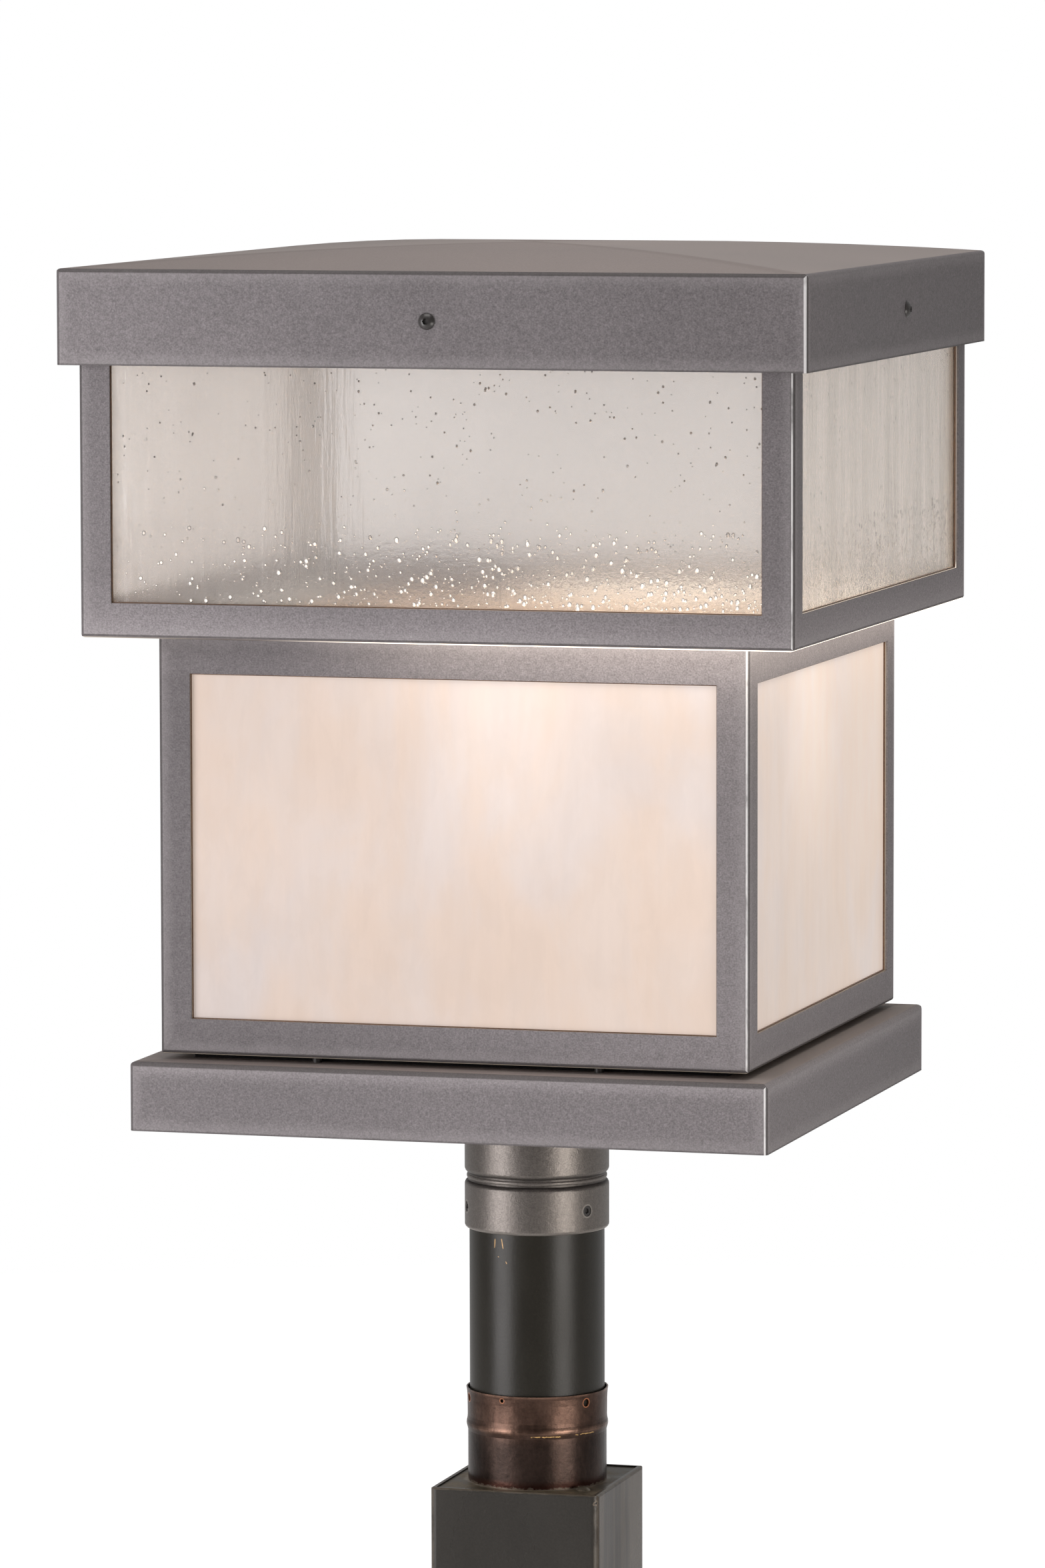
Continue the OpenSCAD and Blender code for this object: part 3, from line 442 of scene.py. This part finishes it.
def old_copper(name):
    """Dark brown patinated copper: cloudy tarnish, rubbed rim and bead, gold scratches, a red-brown foot."""
    k = Look(name)
    foot = Z_SLEEVE
    cloud = k.noise(42, 6, 0.65, (1, 1, 0.6))
    fine = k.noise(420, 4, 0.65)
    drawn = k.noise(90, 4, 0.6, (1, 1, 0.08))
    upper = k.ramp(k.plus(k.z, k.ramp(k.noise(30, 3), 0.3, 0.7, -0.004, 0.004)), foot + 0.022, foot + 0.036)
    deep = k.blend(upper, srgb(38, 29, 25), srgb(60, 43, 35))
    light = k.blend(upper, srgb(68, 54, 48), srgb(102, 79, 68))
    colour = k.blend(k.ramp(cloud, 0.3, 0.72), deep, light)
    colour = k.vary(k.vary(colour, fine, 0.22), drawn, 0.16)
    colour = k.lay(colour, k.ramp(k.noise(60, 5, 0.7), 0.60, 0.72), 0.35, srgb(52, 26, 20))
    rim = k.ramp(k.z, foot + 0.0512, foot + 0.0525)
    bead = k.ramp(k.size(k.minus(k.z, foot + SLEEVE_BEAD_RISE)), 0.0004, 0.0022, 1, 0)
    rubbed = k.times(k.calc("MAXIMUM", rim, k.times(bead, 0.8)),
                     k.ramp(k.noise(75, 4, 0.65, (1, 1, 0.5)), 0.38, 0.62, 0.10, 1))
    colour = k.lay(colour, rubbed, 0.60, srgb(156, 122, 104))
    colour = k.lay(colour, k.ramp(k.z, foot + 0.0005, foot + 0.0055, 1, 0), 0.4, srgb(96, 50, 36))
    weld = k.plus(k.z, k.ramp(k.noise(260, 4, 0.7), 0.3, 0.7, -0.0008, 0.0010))
    colour = k.lay(colour, k.ramp(weld, foot + 0.0004, foot + 0.0014, 1, 0), 0.75, srgb(150, 136, 122))

    # Bright ring round each hole: angle, height above the foot, radius of the hole, strength
    holes = [(angle, 0.0478, 0.0022, 0.85) for angle in SET_SCREW_ANGLES] + [(-104, 0.0500, 0.0011, 0.3)]
    for angle, height, hole, strength in holes:
        gap = k.distance(on_tube(angle, foot + height, SLEEVE_R))
        ring = k.times(k.ramp(gap, hole * 0.8, hole * 0.9), k.ramp(gap, hole + 0.0003, hole + 0.0008, 1, 0))
        colour = k.lay(colour, ring, strength, srgb(214, 142, 104))
    gold = k.calc("ADD", around(k, -80, -54, foot + 0.0301, 0.00034),
                  around(k, -42, -20, foot + 0.0305, 0.00026), clamp=True)
    colour = k.blend(gold, colour, srgb(240, 196, 130))
    rough = k.minus(k.ramp(cloud, 0.3, 0.7, 0.27, 0.36), k.times(rubbed, 0.06))
    normal = k.bump(k.noise(26, 4, 0.6), 0.0010, 0.5, k.bump(fine, 0.00016, 0.6))
    return k.finish(colour=colour, rough=rough, metal=0.85, normal=normal, shine=0.5)


def plated(name, base=(168, 166, 160), metal=0.85, rough=(0.28, 0.42)):
    """Plated steel or brass: brushed, faintly mottled, with dull spots."""
    k = Look(name)
    brushed = k.noise(900, 3, 0.6, (1, 1, 0.25))
    cloud = k.noise(120, 5, 0.6)
    colour = k.vary(k.vary(srgb(*base), cloud, 0.16), brushed, 0.08)
    spots = k.ramp(k.noise(300, 4, 0.6), 0.62, 0.74)
    colour = k.lay(colour, spots, 0.35, [c * 0.35 for c in srgb(*base)])
    return k.finish(colour=colour, rough=k.ramp(cloud, 0.3, 0.7, *rough), metal=metal,
                    normal=k.bump(brushed, 0.00006, 0.5))


def rubbery(name, base, rough=0.8, shine=0.3):
    """Foam rubber or cured silicone with a fine pitted skin."""
    k = Look(name)
    pits = k.cells(900)
    cloud = k.noise(70, 4, 0.6)
    colour = k.vary(k.vary(srgb(*base), cloud, 0.2), pits, 0.15)
    return k.finish(colour=colour, rough=k.ramp(cloud, 0.3, 0.7, rough - 0.06, rough + 0.06),
                    normal=k.bump(pits, 0.0002, 0.5), shine=shine)


def opal(name, side):
    """Cream opal sheet glass: soft clouds, slightly drawn upright, pink and blue-grey, with a painted glow for the
    light from inside.
    """
    turn, level, slope, gain, spot = GLOW[side]
    k = Look(name)
    along = k.plus(k.times(k.x, math.cos(math.radians(turn))), k.times(k.y, math.sin(math.radians(turn))))
    mottle = k.noise(30, 5, 0.58, (1, 1, 0.42), 0.5)
    clouds = k.noise(11, 4, 0.55, (1, 1, 0.6), 0.8)
    fibres = k.noise(120, 5, 0.65, (1, 1, 0.12), 0.3)
    curd = k.ramp(k.noise(70, 5, 0.6, (1, 1, 0.5), 0.4), 0.35, 0.65)
    colour = k.blend(k.ramp(mottle, 0.36, 0.64), srgb(176, 160, 150), srgb(171, 160, 155))
    colour = k.lay(colour, k.ramp(clouds, 0.44, 0.68), 0.6, srgb(166, 160, 160))
    colour = k.vary(k.vary(colour, curd, 0.018), fibres, 0.022)
    # Painted glow of the bulb: a level sloped across the pane, a bright spot, dimmer low down
    up = k.minus(k.z, SPOT_Z)
    off = k.minus(along, spot)
    away = k.calc("SQRT", k.plus(k.times(off, off), k.times(k.times(up, up), SPOT_SQUASH)))
    light = k.plus(k.times(along, slope), level)
    light = k.plus(light, k.ramp(away, 0.004, 0.078, gain, 0))
    light = k.plus(light, k.ramp(k.z, 0.560, 0.640, -0.05, 0))
    light = k.times(light, k.ramp(mottle, 0.25, 0.75, 0.955, 1.045))
    light = k.times(light, k.ramp(fibres, 0.25, 0.75, 0.985, 1.015))
    warm = k.blend(k.ramp(clouds, 0.35, 0.65), srgb(255, 232, 214), srgb(255, 238, 228))
    normal = k.bump(k.noise(40, 3, 0.5, (1, 1, 0.3)), 0.0006, 0.30, k.bump(fibres, 0.0002, 0.25))
    return k.finish(colour=colour, rough=0.30, normal=normal, glow=warm, glow_level=light, shine=0.35)


def seedy(name, rough, clear, tone=(231, 228, 226), ripples=1.0):
    """Clear drawn glass with soft ripples and a faint milky skin. Its seeds are modelled. Lamps shine through."""
    k = Look(name)
    ripple = k.noise(30, 4, 0.55, (1, 1, 0.12), 0.25)
    drawn = k.noise(170, 4, 0.6, (1, 1, 0.07), 0.2)
    skin = k.noise(520, 3, 0.6)
    cloud = k.noise(10, 3, 0.5)
    specks = k.ramp(k.noise(300, 4, 0.7, (1, 1, 0.30)), 0.62, 0.74)
    tint = k.vary(k.lay(srgb(*tone), specks, 0.10, srgb(178, 160, 146)), cloud, 0.015)
    waves = k.bump(ripple, 0.003, 0.30 * ripples, k.bump(skin, 0.0003, 0.25))
    k.finish(colour=tint, rough=rough, clear=clear, ior=GLASS_IOR,
             normal=k.bump(drawn, 0.0007, 0.30 * ripples, waves))
    lit = k.node("ShaderNodeBsdfTransparent", (srgb(236, 234, 232),))
    path = k.tree.nodes.new("ShaderNodeLightPath")
    mix = k.node("ShaderNodeMixShader", (path.outputs["Is Shadow Ray"], k.shader.outputs[0], lit.outputs[0]))
    k.join(mix.outputs[0], k.out.inputs["Surface"])
    return k.mat


def seed_air(name, across, painted_seed_glow):
    """Air seed in the glass with painted light: painted shade round its rim, a core painted paler low in the pane,
    and there a painted glow for the bulb's light. across is the pane's thin axis.
    """
    k = Look(name)
    flat = k.size(k.axes(k.facing)[across])
    edge = k.plus(k.z, k.ramp(k.noise(60, 3), 0.3, 0.7, -0.030, 0.030))
    low = k.ramp(edge, Z_UPPER + 0.035, Z_UPPER + 0.105, 1, 0)
    # Painted light and shade: a core paler low in the pane, painted shade round the rim, a painted glow low down
    middle = k.blend(low, srgb(150, 138, 130), k.vary(srgb(226, 218, 208), k.noise(300, 2), 0.05))
    colour = k.blend(k.ramp(flat, 0.45, 0.80), srgb(70, 60, 54), middle)
    level = k.times(k.times(low, k.ramp(flat, 0.72, 0.95)), painted_seed_glow)
    return k.finish(colour=colour, rough=0.06, clear=1.0, ior=GLASS_IOR, glow=srgb(255, 250, 244),
                    glow_level=level)


def frosted_bulb():
    """Frosted bulb glass that glows most round its filament."""
    k = Look("frosted_bulb")
    up = k.ramp(k.z, Z_FILAMENT - 0.06, Z_FILAMENT, 0.55, 1)
    return k.finish(colour=k.vary(srgb(244, 236, 224), k.noise(60, 4, 0.6), 0.04), rough=0.45,
                    glow=srgb(255, 222, 184), glow_level=k.times(up, BULB_GLOW))


def porcelain():
    """Glazed porcelain with a few kiln specks."""
    k = Look("glazed_porcelain")
    cloud = k.noise(40, 4, 0.6)
    specks = k.ramp(k.noise(500, 3, 0.6), 0.66, 0.76)
    colour = k.lay(k.vary(srgb(236, 232, 222), cloud, 0.03), specks, 0.3, srgb(150, 140, 124))
    return k.finish(colour=colour, rough=k.ramp(cloud, 0.3, 0.7, 0.12, 0.22), coat=0.3,
                    normal=k.bump(cloud, 0.0006, 0.2))


def dress(material, *names):
    """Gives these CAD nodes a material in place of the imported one."""
    for name in names:
        data = NODES[name].data
        if not data.materials:
            data.materials.append(material)
        for i in range(len(data.materials)):
            data.materials[i] = material


# Sheet metal, each coat with its own painted light and shade
dress(coated("coat_cap", CAP_HALF, Z_SKIRT, Z_EAVE, 0.97, painted_lean=-0.09), "cap", "cap_ledge")
dress(coated("coat_upper", UPPER_HALF, Z_UPPER, Z_TOP, 0.96, line=5, painted_hem=(168, 158, 153),
             inner=((-0.10, 0.0), (232, 224, 212)), lit=(-0.10, 0.02, 0.0, 2.3),
             painted_light_gains=((Z_UPPER + 0.036, Z_UPPER + 0.020, 1.18), (Z_UPPER + 0.020, Z_UPPER + 0.004, 1.22))),
      *("upper_frame_" + s for s in SIDES))
dress(coated("coat_lower", LOWER_HALF, Z_LOWER, Z_UPPER, 0.98, painted_lean=0.20, line=6,
             inner=((-0.3, -0.25), (214, 204, 188)), painted_light_gains=((Z_LOWER + 0.205, Z_LOWER + 0.214, 1.12),)),
      *("lower_frame_" + s for s in SIDES))
dress(coated("coat_tray", TRAY_HALF, Z_TRAY, Z_TRAY_TOP, painted_lean=0.06, line=6,
             painted_light_gains=((Z_TRAY + 0.026, Z_TRAY + 0.034, 1.22),)), "base_tray")
dress(turned("coat_fitter"), "fitter")

# Post, tube and sleeve. The tube's scratches start a little under the fitter
RIM = Z_FITTER - 0.0020
dress(dark_paint("tube_paint", scratches=(
    (on_tube(-112.0, RIM - 0.0005), on_tube(-112.7, RIM - 0.0062), 0.00042),
    (on_tube(-105.6, RIM - 0.0002), on_tube(-103.8, RIM - 0.0062), 0.00034),
    (on_tube(-109.4, RIM - 0.0102), on_tube(-107.8, RIM - 0.0112), 0.00032),
    (on_tube(-101.6, RIM - 0.0128), on_tube(-100.2, RIM - 0.0146), 0.00028))), "round_tube")
dress(old_copper("old_copper"), "copper_sleeve")
dress(post_paint(), "square_post")
dress(tarnished("tarnished_plate"), "post_top_plate")
dress(dark_paint("plate_paint", (46, 43, 38), 0.35), "base_plate")

# Screws, nuts, tracks, seals and the lamp
dress(plated("zinc_plate"), "fitter_bolts", "fitter_nuts", "tray_nuts", "tier_bolts", "tier_nuts", "stem",
      "stem_locknuts", "socket_cup", "cap_nuts")
dress(plated("galvanised_track", (196, 193, 188), 0.35, (0.5, 0.62)), "lower_tracks", "upper_tracks")
dress(plated("old_screw", (132, 122, 106), 0.8, (0.30, 0.5)), "bond_screw")
dress(plated("stamped_brass", (206, 164, 92), 0.95, (0.22, 0.36)), "screw_shell", "centre_contact", "bulb_base")
# The tray's bolts take this black as painted shade, so they stay dark in the gap under the lower tier
dress(dark_paint("screw_black", (66, 63, 62), shine=0.6, rough=(0.32, 0.42)), "tray_bolts",
      "set_screw_right", "set_screw_back", "set_screw_left", *("cap_screw_" + s for s in SIDES))
dress(rubbery("foam_seal", (24, 22, 21)), "base_seal", "cap_seal")
dress(rubbery("amber_silicone", (112, 86, 68), 0.45, 0.5), "lower_gaskets", "upper_gaskets")
dress(porcelain(), "lamp_holder")
dress(frosted_bulb(), "bulb_globe")
for side in SIDES:
    dress(opal("opal_" + side, side), "lower_pane_" + side)


def pane_skin(lo, hi, seed):
    """Points and faces of a closed pane with two rippled faces."""
    columns, rows = PANE_COLUMNS, PANE_ROWS
    verts, faces = [], []
    for face, y in ((0, lo.y + SKIN_INSET), (1, hi.y - SKIN_INSET)):
        for j in range(rows + 1):
            for i in range(columns + 1):
                x = lo.x + (hi.x - lo.x) * i / columns
                z = lo.z + (hi.z - lo.z) * j / rows
                wave = 0
                if 0 < i < columns and 0 < j < rows:
                    wave = noise.noise((x * 30 + seed, face * 9.0, z * 5)) * 0.00016
                    wave += noise.noise((x * 90, face * 5.0 + seed, z * 14)) * 0.00007
                verts.append((x, y + wave, z))

    def at(face, i, j):
        return face * (columns + 1) * (rows + 1) + j * (columns + 1) + i

    for j in range(rows):
        for i in range(columns):
            faces.append((at(0, i, j), at(0, i + 1, j), at(0, i + 1, j + 1), at(0, i, j + 1)))
            faces.append((at(1, i, j), at(1, i, j + 1), at(1, i + 1, j + 1), at(1, i + 1, j)))
    for i in range(columns):
        faces.append((at(0, i, 0), at(1, i, 0), at(1, i + 1, 0), at(0, i + 1, 0)))
        faces.append((at(0, i, rows), at(0, i + 1, rows), at(1, i + 1, rows), at(1, i, rows)))
    for j in range(rows):
        faces.append((at(0, 0, j), at(0, 0, j + 1), at(1, 0, j + 1), at(1, 0, j)))
        faces.append((at(0, columns, j), at(1, columns, j), at(1, columns, j + 1), at(0, columns, j + 1)))
    return verts, faces


def seeds(rng, lo, hi):
    """Places and sizes of a pane's air seeds: fine ones all over, larger and more to the right low down."""
    out = []
    for _ in range(SEEDS_A_PANE):
        low = rng.random() < 0.55
        across = rng.random() ** (0.62 if low else 1.0)
        x = lo.x + 0.004 + (hi.x - lo.x - 0.008) * across
        rise = 0.12 + 0.26 * rng.random() ** 1.4 if low else rng.uniform(0.12, 0.93)
        z = lo.z + (hi.z - lo.z) * rise
        big = rng.random() ** (2.0 if low else 2.4)
        radius = 0.00032 + (0.00105 if low else 0.00048) * big
        out.append((x, z, radius, rng.uniform(1.0, 1.3)))
    return out


def add_seed(verts, faces, centre, radius, tall):
    """Adds one closed egg-shaped seed. It is no deeper than the glass allows."""
    x, y, z = centre
    depth = min(radius, SEED_MAX_DEPTH)
    first = len(verts)
    verts.append((x, y, z - radius * tall))
    for a in range(1, SEED_RINGS):
        t = math.pi * a / SEED_RINGS
        for b in range(SEED_SPOKES):
            u = 2 * math.pi * b / SEED_SPOKES
            verts.append((x + radius * math.sin(t) * math.cos(u), y + depth * math.sin(t) * math.sin(u),
                          z - radius * tall * math.cos(t)))
    verts.append((x, y, z + radius * tall))
    last = len(verts) - 1
    for b in range(SEED_SPOKES):
        c = (b + 1) % SEED_SPOKES
        faces.append((first, first + 1 + b, first + 1 + c))
        for a in range(SEED_RINGS - 2):
            p = first + 1 + a * SEED_SPOKES
            faces.append((p + b, p + SEED_SPOKES + b, p + SEED_SPOKES + c, p + c))
        p = first + 1 + (SEED_RINGS - 2) * SEED_SPOKES
        faces.append((p + b, last, p + c))


def glass_pane(side, turn, seed, glass, air):
    """A drawn pane with rippled faces and air seeds inside it, in place of the plain CAD pane."""
    rng = random.Random(seed)
    lo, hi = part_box("upper_pane_front")
    verts, faces = pane_skin(lo, hi, seed)
    skin = len(faces)
    for x, z, radius, tall in seeds(rng, lo, hi):
        y = (lo.y + hi.y) / 2 + rng.uniform(-0.0005, 0.0005)
        add_seed(verts, faces, (x, y, z), radius, tall)
    mesh = bpy.data.meshes.new("seedy_pane_" + side)
    mesh.from_pydata(verts, [], faces)
    mesh.update()
    for p in mesh.polygons:
        p.use_smooth = True
        p.material_index = int(p.index >= skin)
    mesh.transform(Matrix.Rotation(math.radians(turn), 4, "Z"))
    mesh.materials.append(glass)
    mesh.materials.append(air)
    pane = bpy.data.objects.new("seedy_pane_" + side, mesh)
    bpy.context.scene.collection.objects.link(pane)
    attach(pane, "head")
    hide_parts("upper_pane_" + side)


# Seedy panes. Front and back share one glass, right and left the other, which is duller and calmer
FRONT_GLASS = (seedy("seedy_glass_front", 0.17, 0.90), seed_air("seed_air_front", 1, 0.62))
RIGHT_GLASS = (seedy("seedy_glass_right", 0.20, 0.90, (242, 235, 228), 0.4), seed_air("seed_air_right", 0, 0.10))
for number, (side, turn) in enumerate(SIDES.items()):
    glass_pane(side, turn, 11 + 7 * number, *(FRONT_GLASS if side in ("front", "back") else RIGHT_GLASS))


def place_camera():
    """The camera at the photograph's view."""
    back = Vector((math.sin(AZIMUTH) * math.cos(ELEVATION), -math.cos(AZIMUTH) * math.cos(ELEVATION),
                   math.sin(ELEVATION)))
    right = Vector((math.cos(AZIMUTH), math.sin(AZIMUTH), 0))
    turn = Matrix((right, back.cross(right), back)).transposed().to_4x4() @ Matrix.Rotation(ROLL, 4, "Z")
    eye = bpy.data.cameras.new("photo_view")
    eye.sensor_fit = "AUTO"
    eye.sensor_width = 36
    eye.lens = LENS_MM
    camera = bpy.data.objects.new("photo_view", eye)
    camera.matrix_world = Matrix.Translation(CAMERA_PLACE) @ turn
    bpy.context.scene.collection.objects.link(camera)
    bpy.context.scene.camera = camera


def seen_directly(k):
    """Light Path node, and 1 for what the camera sees straight or through glass."""
    path = k.tree.nodes.new("ShaderNodeLightPath")
    return path, k.calc("ADD", path.outputs["Is Camera Ray"], path.outputs["Is Transmission Ray"], clamp=True)


def lay_floor():
    """Pale floor: white to the eye, to glass and, behind the object, to gloss. It keeps the base's shadow."""
    ground = bpy.data.meshes.new("floor")
    rim = [(FLOOR_R * math.cos(math.radians(a)), FLOOR_R * math.sin(math.radians(a)), 0)
           for a in range(0, 360, 4)]
    ground.from_pydata(rim, [], [tuple(range(len(rim)))])
    floor = bpy.data.objects.new("floor", ground)
    bpy.context.scene.collection.objects.link(floor)
    k = Look("floor_white")
    plain = k.node("ShaderNodeBsdfDiffuse", ((FLOOR_GREY, FLOOR_GREY, FLOOR_GREY),))
    path, seen = seen_directly(k)
    behind = k.times(path.outputs["Is Glossy Ray"], k.ramp(k.y, -0.6, 1.6, 0, 0.45))
    away = k.vector("LENGTH", k.place).outputs[1]
    level = k.times(k.calc("MAXIMUM", seen, behind), k.ramp(away, 0.25, 0.95, 0.30, 0.80))
    extra = k.node("ShaderNodeEmission", ((1, 1, 1), level))
    both = k.node("ShaderNodeAddShader", (plain.outputs[0], extra.outputs[0]))
    k.join(both.outputs[0], k.out.inputs["Surface"])
    k.tree.nodes.remove(k.shader)
    ground.materials.append(k.mat)


def hang_world():
    """White background to the eye and through glass, and behind the object to gloss. Else a plain grey level."""
    k = Look("studio", world=True)
    bpy.context.scene.world = k.mat
    path, seen = seen_directly(k)
    behind = k.ramp(k.y, -0.15, 0.60, 0.05, 0.45)
    level = k.node("ShaderNodeMix", (path.outputs["Is Glossy Ray"], None, PLAIN, behind), data_type="FLOAT")
    sky = k.node("ShaderNodeBackground", ((1, 1, 1), k.calc("MAXIMUM", seen, level.outputs[0])))
    k.join(sky.outputs[0], k.out.inputs["Surface"])


def soft_light(name, place, aim, wide, high, power, colour):
    lamp = bpy.data.lights.new(name, "AREA")
    lamp.shape = "RECTANGLE"
    lamp.size, lamp.size_y = wide, high
    lamp.energy = power
    lamp.color = colour
    obj = bpy.data.objects.new(name, lamp)
    way = Vector(aim) - Vector(place)
    obj.matrix_world = Matrix.Translation(place) @ way.to_track_quat("-Z", "Y").to_matrix().to_4x4()
    bpy.context.scene.collection.objects.link(obj)


place_camera()
lay_floor()
hang_world()
soft_light("left_box", (-0.95, -0.98, 0.62), (0, 0, 0.62), 0.75, 1.2, 15, (1.0, 0.975, 0.985))
soft_light("right_box", (1.25, -0.70, 0.27), (0, 0, 0.30), 0.72, 0.5, 7, (1.0, 0.955, 0.91))
soft_light("top_box", (0.0, -0.3, 2.6), (0, 0, 0.9), 1.6, 1.6, 23, (1.0, 0.96, 0.93))
bpy.context.scene.view_settings.view_transform = "Standard"
